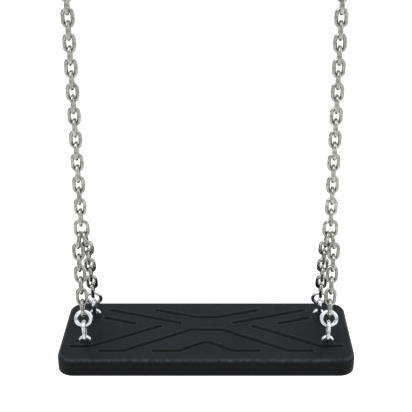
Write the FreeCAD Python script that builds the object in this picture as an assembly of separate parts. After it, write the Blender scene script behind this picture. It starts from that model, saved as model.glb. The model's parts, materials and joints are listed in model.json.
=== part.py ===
"""Flat rubber swing seat hung on two steel link chains, millimetres, +Z up.

The origin is the middle of the four beam bolt holes, on the top faces of the
two hanger plates. +X runs along the beam and the seat, +Y points to the back.
Everything hangs below the origin. Each piece is one solid, and pieces that are
alike on one moving body share a node as separate solids.
"""

import FreeCAD, Part
import math
import os

Vec = FreeCAD.Vector
X_AXIS = Vec(1, 0, 0)
Y_AXIS = Vec(0, 1, 0)
Z_AXIS = Vec(0, 0, 1)

# --- seat -------------------------------------------------------------------
SEAT_WIDTH = 460.0
SEAT_DEPTH = 180.0
SEAT_THICKNESS = 30.0
SEAT_CORNER_RADIUS = 25.0
SEAT_TOP_EDGE_RADIUS = 6.0
SEAT_BOTTOM_EDGE_RADIUS = 4.0
GROOVE_WIDTH = 8.0
GROOVE_DEPTH = 2.0
GRIP_MARGIN = 28.0          # from the long edges of the seat to the end of a groove

# --- chain ------------------------------------------------------------------
WIRE = 6.0                  # thickness of the steel wire in every link
LINK_INNER_WIDTH = 7.8
LINK_INNER_LENGTH = 18.3
WELD_SWELL = 0.35           # how far a weld stands out of the wire
WELD_LENGTH = 4.0
LINK_PLAY = 0.3             # gap between two hooked wires
LINK_COUNT = 21             # main links in one chain
CHAIN_SPACING = 382.0       # centre of the left chain to centre of the right one

# --- junction link and legs -------------------------------------------------
JUNCTION_INNER_WIDTH = 13.2
JUNCTION_INNER_LENGTH = 20.0
JUNCTION_CORNER_RADIUS = 6.2    # of the wire's centre line
LEG_LINK_COUNT = 7
FIRST_LEG_OFFSET = 4.1      # of a leg's first link, sideways in the junction link
FIRST_LEG_SPLAY = 8.0       # degrees that the first link swings out past the other leg
ANCHOR_SPREAD = 82.0        # front anchor to rear anchor
ANCHOR_INSET = 4.0          # the anchors' middle line stands this far inside the chain
ANCHOR_OFFSET = 3.0         # front anchors are this far outside their middle line, rear ones inside
RING_INNER_DIAMETER = 17.3
SEAT_LINK_INNER_LENGTH = 24.0

# --- anchors inside the seat ------------------------------------------------
STAPLE_RISE = 12.0          # wire centre of a staple's crown above the seat
STAPLE_LEG_SPACING = 14.4
STAPLE_THREAD_END = 1.0     # thread showing below the nut
PLATE_LENGTH = 424.0
PLATE_DEPTH = 108.0
PLATE_THICKNESS = 5.0
PLATE_CORNER_RADIUS = 10.0
PLATE_COVER = 12.0          # rubber over the plate
STAPLE_NUT_FLATS = 10.0
STAPLE_NUT_HEIGHT = 5.0

# --- hangers ----------------------------------------------------------------
HANGER_LENGTH = 110.0
HANGER_WIDTH = 60.0
HANGER_THICKNESS = 6.0
HANGER_CORNER_RADIUS = 10.0
BEAM_HOLE_DIAMETER = 11.0
BEAM_HOLE_SPACING = 80.0
EAR_THICKNESS = 6.0
EAR_RADIUS = 15.0
EAR_FOOT_LENGTH = 46.0
PIVOT_DROP = 28.0           # plate top to the pivot bolt
PIVOT_DIAMETER = 12.0
PIVOT_HOLE_PLAY = 0.25
PIVOT_HEAD_FLATS = 19.0
PIVOT_HEAD_HEIGHT = 7.5
PIVOT_NUT_HEIGHT = 10.8
PIVOT_THREAD_END = 3.0
WASHER_DIAMETER = 24.0
WASHER_THICKNESS = 2.5
BUSH_WALL = 2.94
BUSH_RUNNING_PLAY = 0.06
EYE_LENGTH = 24.0
EYE_WALL = 4.5
EYE_SIDE_PLAY = 0.5

# --- shackle ----------------------------------------------------------------
PIN_DROP = 32.2             # pivot bolt to shackle pin
PIN_DIAMETER = 6.0
PIN_RUNNING_PLAY = 0.08
LUG_RADIUS = 8.0
SHACKLE_INNER_WIDTH = 12.0
SHACKLE_INNER_LENGTH = 24.0
SHACKLE_EAR_RADIUS = 6.5
SHACKLE_EAR_THICKNESS = 6.0
LUG_SIDE_PLAY = 0.3
PIN_HEAD_DIAMETER = 11.0
PIN_HEAD_HEIGHT = 4.0
PIN_TAB_HOLE = 3.0

# --- worked out from the values above ---------------------------------------
HOOKED = WIRE + LINK_PLAY   # between the centres of two hooked wires
LINK_REACH = LINK_INNER_LENGTH / 2 + WIRE / 2       # link centre to its crown wire
LINK_PITCH = LINK_INNER_LENGTH - LINK_PLAY
CHAIN_X = CHAIN_SPACING / 2
PIVOT_Z = -PIVOT_DROP
PIN_Z = PIVOT_Z - PIN_DROP
BOW_Z = PIN_Z - PIN_DIAMETER / 2 - SHACKLE_INNER_LENGTH - WIRE / 2
FIRST_LINK_Z = BOW_Z + HOOKED - LINK_REACH
LAST_LINK_Z = FIRST_LINK_Z - LINK_PITCH * (LINK_COUNT - 1)
JUNCTION_TOP_Z = LAST_LINK_Z - LINK_REACH + HOOKED
JUNCTION_REACH = JUNCTION_INNER_LENGTH / 2 + WIRE / 2
JUNCTION_Z = JUNCTION_TOP_Z - JUNCTION_REACH
LEG_TOP_Z = JUNCTION_Z - JUNCTION_REACH
RING_REACH = RING_INNER_DIAMETER / 2 + WIRE / 2
SEAT_LINK_REACH = SEAT_LINK_INNER_LENGTH / 2 + WIRE / 2
LEG_HOOK = LINK_REACH - HOOKED                      # hooked wire to the centre of its link
SECOND_TO_LAST = LINK_PITCH * (LEG_LINK_COUNT - 2)
RING_ALONG = LEG_HOOK + SECOND_TO_LAST + LINK_REACH - HOOKED + RING_REACH
SEAT_LINK_ALONG = RING_ALONG + RING_REACH - HOOKED + SEAT_LINK_REACH
STAPLE_ALONG = SEAT_LINK_ALONG + SEAT_LINK_REACH - HOOKED
ANCHOR_Y = ANCHOR_SPREAD / 2
FIRST_LEG_LEAN = math.asin(ANCHOR_Y / (STAPLE_ALONG + LINK_PITCH))
ELBOW_X = FIRST_LEG_OFFSET + LINK_PITCH * math.cos(FIRST_LEG_LEAN) * math.sin(math.radians(FIRST_LEG_SPLAY))
ELBOW_Y = LINK_PITCH * math.sin(FIRST_LEG_LEAN)
ELBOW_DROP = LINK_PITCH * math.cos(FIRST_LEG_LEAN) * math.cos(math.radians(FIRST_LEG_SPLAY))
LEG_INWARD = {side: ELBOW_X - ANCHOR_OFFSET - side * ANCHOR_INSET for side in (-1, 1)}
LEG_OUTWARD = ANCHOR_Y - ELBOW_Y
LEG_SLANT = (LEG_INWARD[-1] ** 2 + LEG_INWARD[1] ** 2) / 2 + LEG_OUTWARD ** 2
LEG_DROP = math.sqrt(STAPLE_ALONG ** 2 - LEG_SLANT)
LEG_LEAN = math.atan2(LEG_OUTWARD, LEG_DROP)
LEG_TILT = {side: math.asin(LEG_INWARD[side] / STAPLE_ALONG) for side in (-1, 1)}
STAPLE_Z = LEG_TOP_Z - ELBOW_DROP - LEG_DROP
SEAT_TOP = STAPLE_Z - STAPLE_RISE
SEAT_BOTTOM = SEAT_TOP - SEAT_THICKNESS
PLATE_TOP = SEAT_TOP - PLATE_COVER
PLATE_BOTTOM = PLATE_TOP - PLATE_THICKNESS
NUT_BOTTOM = PLATE_BOTTOM - STAPLE_NUT_HEIGHT

# links of the main chain, from the top, that move as one body, two or fewer to a node
CHAIN_TOP_LINKS = (1, 2)
CHAIN_UPPER_LINKS = (3, 10)
CHAIN_LOWER_LINKS = (11, 18)
CHAIN_BOTTOM_LINKS = (19, 21)


def cylinder(radius, length, start, direction):
    """Solid cylinder from a start point along a direction."""
    return Part.makeCylinder(radius, length, start, direction)


def rounded_slab(length_x, length_y, height, corner, bottom_z):
    """Flat plate centred on the vertical axis, with round plan corners."""
    low = Vec(-length_x / 2, -length_y / 2, bottom_z)
    slab = Part.makeBox(length_x, length_y, height, low)
    upright = [e for e in slab.Edges if abs(e.tangentAt(e.FirstParameter).z) > 0.9]
    return slab.makeFillet(corner, upright)


def hexagon(across_flats, height, base, direction):
    """Hexagonal prism, centred on the base point and standing along the direction."""
    radius = across_flats / math.sqrt(3)
    corners = [
        Vec(radius * math.cos(math.radians(60 * n)), radius * math.sin(math.radians(60 * n)), 0)
        for n in range(6)
    ]
    face = Part.Face(Part.makePolygon(corners + corners[:1]))
    prism = face.extrude(Vec(0, 0, height))
    prism.Placement = FreeCAD.Placement(base, FreeCAD.Rotation(Z_AXIS, direction))
    return prism


def obround_path(inner_width, inner_length):
    """Centre line of a link: two straight sides and two half circles, in the XZ plane."""
    radius = inner_width / 2 + WIRE / 2
    half_side = inner_length / 2 - inner_width / 2
    top_left = Vec(-radius, 0, half_side)
    top_right = Vec(radius, 0, half_side)
    low_left = Vec(-radius, 0, -half_side)
    low_right = Vec(radius, 0, -half_side)
    crown = Part.Arc(top_left, Vec(0, 0, half_side + radius), top_right)
    heel = Part.Arc(low_right, Vec(0, 0, -half_side - radius), low_left)
    edges = [
        Part.LineSegment(low_left, top_left).toShape(),
        crown.toShape(),
        Part.LineSegment(top_right, low_right).toShape(),
        heel.toShape(),
    ]
    return Part.Wire(edges)


def wire_along(path, start, direction):
    """Round wire of the standard thickness swept along a smooth path."""
    section = Part.Wire([Part.makeCircle(WIRE / 2, start, direction)])
    return path.makePipeShell([section], True, False)


def weld_bead(x):
    """Barrel-shaped weld round the middle of a link's straight side."""
    profile = Part.Wire([
        Part.LineSegment(Vec(0, 0, -WELD_LENGTH / 2), Vec(WIRE / 2, 0, -WELD_LENGTH / 2)).toShape(),
        Part.Arc(
            Vec(WIRE / 2, 0, -WELD_LENGTH / 2),
            Vec(WIRE / 2 + WELD_SWELL, 0, 0),
            Vec(WIRE / 2, 0, WELD_LENGTH / 2),
        ).toShape(),
        Part.LineSegment(Vec(WIRE / 2, 0, WELD_LENGTH / 2), Vec(0, 0, WELD_LENGTH / 2)).toShape(),
        Part.LineSegment(Vec(0, 0, WELD_LENGTH / 2), Vec(0, 0, -WELD_LENGTH / 2)).toShape(),
    ])
    bead = Part.Face(profile).revolve(Vec(0, 0, 0), Z_AXIS, 360)
    bead.translate(Vec(x, 0, 0))
    return bead


def link(inner_width, inner_length):
    """Welded link standing upright and face-on, in the XZ plane, centred on the origin."""
    path = obround_path(inner_width, inner_length)
    side_x = -(inner_width / 2 + WIRE / 2)
    half_side = inner_length / 2 - inner_width / 2
    ring = wire_along(path, Vec(side_x, 0, -half_side), Z_AXIS)
    return ring.fuse(weld_bead(side_x)).removeSplitter()


def junction_link():
    """Rounded rectangle of wire that joins two legs to one chain, in the XZ plane."""
    radius = JUNCTION_CORNER_RADIUS
    half_width = JUNCTION_INNER_WIDTH / 2 + WIRE / 2
    half_length = JUNCTION_REACH
    diagonal = radius * (1 - math.sqrt(0.5))
    edges = []
    for sx, sz in ((-1, 1), (1, 1), (1, -1), (-1, -1)):
        side = Vec(sx * half_width, 0, sz * (half_length - radius))
        middle = Vec(sx * (half_width - diagonal), 0, sz * (half_length - diagonal))
        end = Vec(sx * (half_width - radius), 0, sz * half_length)
        edges.append(Part.Arc(side, middle, end).toShape())
    for sz in (1, -1):
        run = half_width - radius
        edges.append(Part.LineSegment(Vec(-run, 0, sz * half_length), Vec(run, 0, sz * half_length)).toShape())
    for sx in (1, -1):
        run = half_length - radius
        edges.append(Part.LineSegment(Vec(sx * half_width, 0, -run), Vec(sx * half_width, 0, run)).toShape())
    path = Part.Wire(Part.__sortEdges__(edges))
    start = Vec(-half_width, 0, -(half_length - radius))
    ring = wire_along(path, start, Z_AXIS)
    return ring.fuse(weld_bead(-half_width)).removeSplitter()


def turned(shape, angle, axis):
    """Copy of a shape turned about an axis through the origin."""
    copy = shape.copy()
    copy.rotate(Vec(0, 0, 0), axis, angle)
    return copy


def moved(shape, x, y, z):
    """Copy of a shape moved by an offset."""
    copy = shape.copy()
    copy.translate(Vec(x, y, z))
    return copy


def mirrored(shape):
    """Copy of a shape on the other side of the seat."""
    return shape.mirror(Vec(0, 0, 0), X_AXIS)


def chain_link(number):
    """Link of the right main chain, counted from 1 at the top; odd links are edge-on."""
    body = link(LINK_INNER_WIDTH, LINK_INNER_LENGTH)
    if number % 2:
        body = turned(body, 90, Z_AXIS)
    return moved(body, CHAIN_X, 0, FIRST_LINK_Z - LINK_PITCH * (number - 1))


def first_in_leg(shape, side):
    """Places the first link of a right leg: side is -1 at the front, 1 at the rear."""
    placed = moved(shape, 0, 0, -LEG_HOOK)
    placed = turned(placed, side * math.degrees(FIRST_LEG_LEAN), X_AXIS)
    placed = turned(placed, side * FIRST_LEG_SPLAY, Y_AXIS)
    return moved(placed, CHAIN_X - side * FIRST_LEG_OFFSET, 0, LEG_TOP_Z)


def in_leg(shape, along, side):
    """Places a shape in a right leg, at a distance below the foot of the first link."""
    placed = moved(shape, 0, 0, -along)
    placed = turned(placed, -side * math.degrees(LEG_TILT[side]), Y_AXIS)
    placed = turned(placed, side * math.degrees(LEG_LEAN), X_AXIS)
    return moved(placed, CHAIN_X - side * ELBOW_X, side * ELBOW_Y, LEG_TOP_Z - ELBOW_DROP)


def leg_links(side):
    """The short links of one right leg."""
    face_on = link(LINK_INNER_WIDTH, LINK_INNER_LENGTH)
    edge_on = turned(face_on, 90, Z_AXIS)
    kinds = (face_on, edge_on)
    lower = [
        in_leg(kinds[n % 2], LEG_HOOK + LINK_PITCH * n, side) for n in range(LEG_LINK_COUNT - 1)
    ]
    return [first_in_leg(edge_on, side)] + lower


def leg_ring(side):
    """Round ring at the foot of one right leg."""
    ring = Part.makeTorus(RING_REACH, WIRE / 2, Vec(0, 0, 0), Y_AXIS)
    return in_leg(ring, RING_ALONG, side)


def seat_link(side):
    """Long link between a ring and its staple."""
    body = turned(link(LINK_INNER_WIDTH, SEAT_LINK_INNER_LENGTH), 90, Z_AXIS)
    return in_leg(body, SEAT_LINK_ALONG, side)


def anchor_x(side):
    """X of a right anchor: side is -1 at the front, 1 at the rear."""
    return CHAIN_X - ANCHOR_INSET - side * ANCHOR_OFFSET


def staple(side):
    """Threaded U-bolt whose crown stands out of the seat, on the right."""
    radius = STAPLE_LEG_SPACING / 2
    end_z = NUT_BOTTOM - STAPLE_THREAD_END
    foot = Vec(-radius, 0, end_z - STAPLE_Z)
    spring = Vec(-radius, 0, -radius)
    far_spring = Vec(radius, 0, -radius)
    far_foot = Vec(radius, 0, end_z - STAPLE_Z)
    path = Part.Wire([
        Part.LineSegment(foot, spring).toShape(),
        Part.Arc(spring, Vec(0, 0, 0), far_spring).toShape(),
        Part.LineSegment(far_spring, far_foot).toShape(),
    ])
    bar = wire_along(path, foot, Z_AXIS)
    return moved(bar, anchor_x(side), side * ANCHOR_Y, STAPLE_Z)


def staple_leg_places():
    """X and Y of the eight staple legs."""
    places = []
    for hand in (1, -1):
        for side in (-1, 1):
            for foot in (-1, 1):
                x = anchor_x(side) + foot * STAPLE_LEG_SPACING / 2
                places.append((hand * x, side * ANCHOR_Y))
    return places


def staple_nuts():
    """The eight hexagon nuts under the plate."""
    nuts = []
    for x, y in staple_leg_places():
        nut = hexagon(STAPLE_NUT_FLATS, STAPLE_NUT_HEIGHT, Vec(x, y, NUT_BOTTOM), Z_AXIS)
        hole = cylinder(WIRE / 2, STAPLE_NUT_HEIGHT, Vec(x, y, NUT_BOTTOM), Z_AXIS)
        nuts.append(nut.cut(hole))
    return nuts


def seat_plate_blank():
    """Outer shape of the plate inside the seat."""
    return rounded_slab(PLATE_LENGTH, PLATE_DEPTH, PLATE_THICKNESS, PLATE_CORNER_RADIUS, PLATE_BOTTOM)


def seat_insert_plate():
    """Aluminium plate moulded into the seat, with a hole for each staple leg."""
    plate = seat_plate_blank()
    for x, y in staple_leg_places():
        plate = plate.cut(cylinder(WIRE / 2, PLATE_THICKNESS, Vec(x, y, PLATE_BOTTOM), Z_AXIS))
    return plate


def grip_lines():
    """Centre lines of the grip grooves, as x and y from the middle of the seat."""
    edge = SEAT_DEPTH / 2 - GRIP_MARGIN
    half = SEAT_WIDTH / 2
    whole = [
        ((-83, edge), (-18, 40), (18, 40), (83, edge)),
        ((-164, -edge), (-128, -edge), (-25, 0), (25, 0), (128, -edge), (164, -edge)),
        ((-81, -edge), (-42, -edge), (-5, -38), (5, -38), (42, -edge), (81, -edge)),
    ]
    right_only = [
        ((160, edge), (45, 22)),
        ((165, 37), (119, 20)),
        ((half - 20, -49), (half - 50, -49), (76, 11)),
    ]
    left_only = [tuple((-x, y) for x, y in line) for line in right_only]
    return whole + right_only + left_only


def groove(line):
    """Cutter for one grip groove: flat runs with round joints and ends."""
    bottom = SEAT_TOP - GROOVE_DEPTH
    cutter = None
    for start, end in zip(line, line[1:]):
        run = Vec(end[0] - start[0], end[1] - start[1], 0)
        bar = Part.makeBox(run.Length, GROOVE_WIDTH, 2 * GROOVE_DEPTH, Vec(0, -GROOVE_WIDTH / 2, 0))
        bar.Placement = FreeCAD.Placement(
            Vec(start[0], start[1], bottom), FreeCAD.Rotation(X_AXIS, run)
        )
        cutter = bar if cutter is None else cutter.fuse(bar)
    for x, y in line:
        cutter = cutter.fuse(cylinder(GROOVE_WIDTH / 2, 2 * GROOVE_DEPTH, Vec(x, y, bottom), Z_AXIS))
    return cutter


def seat_rubber(inside):
    """Moulded rubber seat, cut to fit round the pieces that are moulded into it."""
    seat = rounded_slab(SEAT_WIDTH, SEAT_DEPTH, SEAT_THICKNESS, SEAT_CORNER_RADIUS, SEAT_BOTTOM)
    for level, radius in ((SEAT_TOP, SEAT_TOP_EDGE_RADIUS), (SEAT_BOTTOM, SEAT_BOTTOM_EDGE_RADIUS)):
        rim = [e for e in seat.Edges if abs(e.BoundBox.ZMin - level) < 0.01 and e.BoundBox.ZLength < 0.01]
        seat = seat.makeFillet(radius, rim)
    for line in grip_lines():
        seat = seat.cut(groove(line))
    for piece in inside:
        seat = seat.cut(piece)
    return seat


def hanger_bracket():
    """Right hanger: a plate bolted under the beam, with two ears for the pivot bolt."""
    bottom = -HANGER_THICKNESS
    bracket = rounded_slab(HANGER_WIDTH, HANGER_LENGTH, HANGER_THICKNESS, HANGER_CORNER_RADIUS, bottom)
    for side in (-1, 1):
        start = Vec(0, side * BEAM_HOLE_SPACING / 2, bottom)
        bracket = bracket.cut(cylinder(BEAM_HOLE_DIAMETER / 2, HANGER_THICKNESS, start, Z_AXIS))
    inner = EYE_LENGTH / 2 + EYE_SIDE_PLAY
    for side in (-1, 1):
        bracket = bracket.fuse(hanger_ear(side * inner, side))
    return moved(bracket.removeSplitter(), CHAIN_X, 0, 0)


def hanger_ear(inner_x, side):
    """Tapered ear under a hanger plate, from its inner face outwards."""
    foot = EAR_FOOT_LENGTH / 2
    drop = PIVOT_DROP - HANGER_THICKNESS
    turn = math.atan2(foot, drop) + math.acos(EAR_RADIUS / math.hypot(foot, drop))
    touch_y = EAR_RADIUS * math.sin(turn)
    touch_z = PIVOT_Z + EAR_RADIUS * math.cos(turn)
    outline = Part.Wire([
        Part.LineSegment(Vec(0, -foot, -HANGER_THICKNESS), Vec(0, foot, -HANGER_THICKNESS)).toShape(),
        Part.LineSegment(Vec(0, foot, -HANGER_THICKNESS), Vec(0, touch_y, touch_z)).toShape(),
        Part.Arc(
            Vec(0, touch_y, touch_z), Vec(0, 0, PIVOT_Z - EAR_RADIUS), Vec(0, -touch_y, touch_z)
        ).toShape(),
        Part.LineSegment(Vec(0, -touch_y, touch_z), Vec(0, -foot, -HANGER_THICKNESS)).toShape(),
    ])
    ear = Part.Face(outline).extrude(Vec(side * EAR_THICKNESS, 0, 0))
    hole = cylinder(PIVOT_DIAMETER / 2 + PIVOT_HOLE_PLAY, EAR_THICKNESS, Vec(0, 0, PIVOT_Z), X_AXIS * side)
    ear = ear.cut(hole)
    ear.translate(Vec(inner_x, 0, 0))
    return ear


def ear_outer():
    """Distance from the chain's centre to the outer face of a hanger ear."""
    return EYE_LENGTH / 2 + EYE_SIDE_PLAY + EAR_THICKNESS


def pivot_bolt():
    """Right pivot bolt, with its head on the outer side."""
    head_x = CHAIN_X + ear_outer()
    length = 2 * ear_outer() + WASHER_THICKNESS + PIVOT_NUT_HEIGHT + PIVOT_THREAD_END
    shank = cylinder(PIVOT_DIAMETER / 2, length, Vec(head_x, 0, PIVOT_Z), X_AXIS * -1)
    head = hexagon(PIVOT_HEAD_FLATS, PIVOT_HEAD_HEIGHT, Vec(head_x, 0, PIVOT_Z), X_AXIS)
    return shank.fuse(head)


def pivot_washer():
    """Flat washer between the inner ear and the nut."""
    start = Vec(CHAIN_X - ear_outer(), 0, PIVOT_Z)
    disc = cylinder(WASHER_DIAMETER / 2, WASHER_THICKNESS, start, X_AXIS * -1)
    hole = cylinder(PIVOT_DIAMETER / 2 + PIVOT_HOLE_PLAY, WASHER_THICKNESS, start, X_AXIS * -1)
    return disc.cut(hole)


def pivot_nut():
    """Lock nut on the pivot bolt."""
    start = Vec(CHAIN_X - ear_outer() - WASHER_THICKNESS, 0, PIVOT_Z)
    nut = hexagon(PIVOT_HEAD_FLATS, PIVOT_NUT_HEIGHT, start, X_AXIS * -1)
    return nut.cut(cylinder(PIVOT_DIAMETER / 2, PIVOT_NUT_HEIGHT, start, X_AXIS * -1))


def bush_radii():
    """Inner and outer radius of the bearing bush."""
    inner = PIVOT_DIAMETER / 2 + BUSH_RUNNING_PLAY
    return inner, inner + BUSH_WALL


def bearing_bush():
    """Nylon bush pressed into the right swing eye."""
    inner, outer = bush_radii()
    start = Vec(CHAIN_X - EYE_LENGTH / 2, 0, PIVOT_Z)
    sleeve = cylinder(outer, EYE_LENGTH, start, X_AXIS)
    return sleeve.cut(cylinder(inner, EYE_LENGTH, start, X_AXIS))


def swing_eye():
    """Tube that turns on the bush, with a lug below it for the shackle pin."""
    bore = bush_radii()[1]
    start = Vec(CHAIN_X - EYE_LENGTH / 2, 0, PIVOT_Z)
    lug_width = SHACKLE_INNER_WIDTH - 2 * LUG_SIDE_PLAY
    lug_start = Vec(CHAIN_X - lug_width / 2, -LUG_RADIUS, PIN_Z)
    lug = Part.makeBox(lug_width, 2 * LUG_RADIUS, PIN_DROP, lug_start)
    lug = lug.fuse(cylinder(LUG_RADIUS, lug_width, Vec(CHAIN_X - lug_width / 2, 0, PIN_Z), X_AXIS))
    eye = cylinder(bore + EYE_WALL, EYE_LENGTH, start, X_AXIS).fuse(lug).removeSplitter()
    eye = eye.cut(cylinder(bore, EYE_LENGTH, start, X_AXIS))
    pin_hole = cylinder(
        PIN_DIAMETER / 2 + PIN_RUNNING_PLAY, lug_width, Vec(CHAIN_X - lug_width / 2, 0, PIN_Z), X_AXIS
    )
    return eye.cut(pin_hole)


def shackle_bow():
    """Right D-shackle: a bow of wire with a flat ear at each end, in the XZ plane."""
    radius = SHACKLE_INNER_WIDTH / 2 + WIRE / 2
    path = Part.Wire([
        Part.LineSegment(Vec(-radius, 0, PIN_Z), Vec(-radius, 0, BOW_Z + radius)).toShape(),
        Part.Arc(Vec(-radius, 0, BOW_Z + radius), Vec(0, 0, BOW_Z), Vec(radius, 0, BOW_Z + radius)).toShape(),
        Part.LineSegment(Vec(radius, 0, BOW_Z + radius), Vec(radius, 0, PIN_Z)).toShape(),
    ])
    bow = wire_along(path, Vec(-radius, 0, PIN_Z), Z_AXIS)
    for side in (-1, 1):
        start = Vec(side * SHACKLE_INNER_WIDTH / 2, 0, PIN_Z)
        bow = bow.fuse(cylinder(SHACKLE_EAR_RADIUS, SHACKLE_EAR_THICKNESS, start, X_AXIS * side))
    reach = SHACKLE_INNER_WIDTH / 2 + SHACKLE_EAR_THICKNESS
    bow = bow.cut(cylinder(PIN_DIAMETER / 2, 2 * reach, Vec(-reach, 0, PIN_Z), X_AXIS))
    return moved(bow.removeSplitter(), CHAIN_X, 0, 0)


def shackle_pin():
    """Screw pin of the right shackle, with a flat drilled head on the outer side."""
    reach = SHACKLE_INNER_WIDTH / 2 + SHACKLE_EAR_THICKNESS
    shank = cylinder(PIN_DIAMETER / 2, 2 * reach, Vec(-reach, 0, PIN_Z), X_AXIS)
    collar = cylinder(PIN_HEAD_DIAMETER / 2, PIN_HEAD_HEIGHT / 2, Vec(reach, 0, PIN_Z), X_AXIS)
    tab_x = reach + PIN_HEAD_HEIGHT / 2
    tab_size = PIN_HEAD_DIAMETER - PIN_HEAD_HEIGHT / 2
    tab_low = Vec(tab_x, -PIN_HEAD_HEIGHT / 2, PIN_Z - tab_size / 2)
    tab = Part.makeBox(tab_size, PIN_HEAD_HEIGHT, tab_size, tab_low)
    hole_start = Vec(tab_x + tab_size / 2, -PIN_HEAD_HEIGHT / 2, PIN_Z)
    tab = tab.cut(cylinder(PIN_TAB_HOLE / 2, PIN_HEAD_HEIGHT, hole_start, Y_AXIS))
    pin = shank.fuse(collar).fuse(tab)
    return moved(pin.removeSplitter(), CHAIN_X, 0, 0)


def export(name, solids):
    """Writes one node as a STEP file."""
    shape = solids[0] if len(solids) == 1 else Part.makeCompound(solids)
    shape.exportStep(f"parts/{name}.step")
    volume = sum(solid.Volume for solid in solids)
    print(f"{name}: {len(solids)} solid(s), {volume:.0f} mm3, valid {shape.isValid()}")


def export_pair(name, solids):
    """Writes a right-hand node and its mirror image on the left."""
    export(f"right_{name}", solids)
    export(f"left_{name}", [mirrored(solid) for solid in solids])


def build_hangers():
    """Brackets, bolts and bearings at the top of both chains."""
    export_pair("hanger_bracket", [hanger_bracket()])
    for name, piece in (("bolts", pivot_bolt()), ("washers", pivot_washer()), ("nuts", pivot_nut())):
        export(f"pivot_{name}", [piece, mirrored(piece)])
    export_pair("bearing_bush", [bearing_bush()])
    export_pair("swing_eye", [swing_eye()])
    export_pair("shackle_bow", [shackle_bow()])
    export_pair("shackle_pin", [shackle_pin()])


def build_chains():
    """Main links of both chains, and the junction links below them."""
    for first, last in (CHAIN_TOP_LINKS, CHAIN_UPPER_LINKS, CHAIN_LOWER_LINKS, CHAIN_BOTTOM_LINKS):
        for number in range(first, last + 1, 2):
            group = range(number, min(number + 1, last) + 1)
            name = "chain_links_" + "_".join(f"{n:02d}" for n in group)
            export_pair(name, [chain_link(n) for n in group])
    export_pair("junction_link", [moved(junction_link(), CHAIN_X, 0, JUNCTION_Z)])


def build_seat():
    """Legs, rings, staples and everything in the seat."""
    staples = []
    for side, place in ((-1, "front"), (1, "rear")):
        export_pair(f"{place}_leg_links", leg_links(side))
        export_pair(f"{place}_ring", [leg_ring(side)])
        export_pair(f"{place}_seat_link", [seat_link(side)])
        bar = staple(side)
        export_pair(f"{place}_staple", [bar])
        staples += [bar, mirrored(bar)]
    nuts = staple_nuts()
    export("staple_nuts", nuts)
    export("seat_insert_plate", [seat_insert_plate()])
    export("seat_rubber", [seat_rubber([seat_plate_blank()] + nuts + staples)])


def main():
    """Builds every node and prints the joint heights."""
    os.makedirs("parts", exist_ok=True)
    build_hangers()
    build_chains()
    build_seat()
    print(f"pivot {PIVOT_Z:.3f}, pin {PIN_Z:.3f}, first crown {BOW_Z + HOOKED:.3f}")
    for number in (CHAIN_TOP_LINKS[1], CHAIN_UPPER_LINKS[1], CHAIN_LOWER_LINKS[1], CHAIN_BOTTOM_LINKS[1]):
        print(f"wire below link {number}: {FIRST_LINK_Z - LINK_PITCH * (number - 1) - LINK_REACH:.3f}")
    print(f"leg top {LEG_TOP_Z:.3f}, lean {math.degrees(LEG_LEAN):.3f}, seat top {SEAT_TOP:.3f}")


main()
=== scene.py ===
"""Looks of the chain-hung rubber swing seat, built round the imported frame.

The moulded seat, every link, ring and staple, the swing eyes, the shackles and the
bolts are modelled here as finished pieces. Hanger brackets, bushes, insert plate and
staple nuts keep their designed shape and get a finish; the brackets also get eased
edges and weld seams.
"""

import json
import logging
import math
from dataclasses import dataclass, field
from enum import Enum

import bpy
import numpy as np
from mathutils import Matrix, Vector


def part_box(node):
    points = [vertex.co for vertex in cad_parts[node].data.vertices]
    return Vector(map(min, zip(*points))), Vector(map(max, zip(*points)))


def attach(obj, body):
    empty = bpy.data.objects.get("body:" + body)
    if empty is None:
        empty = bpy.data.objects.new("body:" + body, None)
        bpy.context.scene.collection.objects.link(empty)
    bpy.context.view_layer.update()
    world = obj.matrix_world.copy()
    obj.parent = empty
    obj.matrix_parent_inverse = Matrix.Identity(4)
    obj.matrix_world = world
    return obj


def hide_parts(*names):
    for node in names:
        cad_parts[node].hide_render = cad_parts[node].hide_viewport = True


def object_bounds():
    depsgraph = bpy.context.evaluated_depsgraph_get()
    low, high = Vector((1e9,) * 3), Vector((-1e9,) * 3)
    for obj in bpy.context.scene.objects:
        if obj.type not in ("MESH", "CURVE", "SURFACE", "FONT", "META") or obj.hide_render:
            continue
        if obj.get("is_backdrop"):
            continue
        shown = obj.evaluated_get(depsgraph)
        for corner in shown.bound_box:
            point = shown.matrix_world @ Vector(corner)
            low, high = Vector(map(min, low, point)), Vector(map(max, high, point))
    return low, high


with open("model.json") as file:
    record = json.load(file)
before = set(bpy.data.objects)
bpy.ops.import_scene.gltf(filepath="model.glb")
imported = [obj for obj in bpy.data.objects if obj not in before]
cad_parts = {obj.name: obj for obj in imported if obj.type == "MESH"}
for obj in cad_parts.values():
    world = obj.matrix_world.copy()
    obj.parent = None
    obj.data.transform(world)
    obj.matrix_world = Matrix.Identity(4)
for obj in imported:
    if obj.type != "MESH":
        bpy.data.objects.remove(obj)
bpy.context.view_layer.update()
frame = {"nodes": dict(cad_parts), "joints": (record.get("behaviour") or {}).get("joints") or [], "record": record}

MM = 0.001
LOG = logging.getLogger("swing")
BODY_OF = {
    node: body for body, nodes in frame["record"]["behaviour"]["bodies"].items() for node in nodes
}
ROUND_LOOP = 1.05       # a loop whose spread is less oblong than this is a round ring
CROWN_SHARE = 0.6       # beyond this share of its half length a loop is its crown
TINY = 1e-6             # keeps a division away from zero


class Side(Enum):
    """Left or right chain; the value is the sign of X."""

    LEFT = -1
    RIGHT = 1

    @property
    def word(self) -> str:
        """The side's name as the frame's nodes spell it."""
        return self.name.lower()


class Leg(Enum):
    """Front or rear leg; the value is the sign of Y."""

    FRONT = -1
    REAR = 1

    @property
    def word(self) -> str:
        """The leg's name as the frame's nodes spell it."""
        return self.name.lower()


# --- finishes ----------------------------------------------------------------


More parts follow.
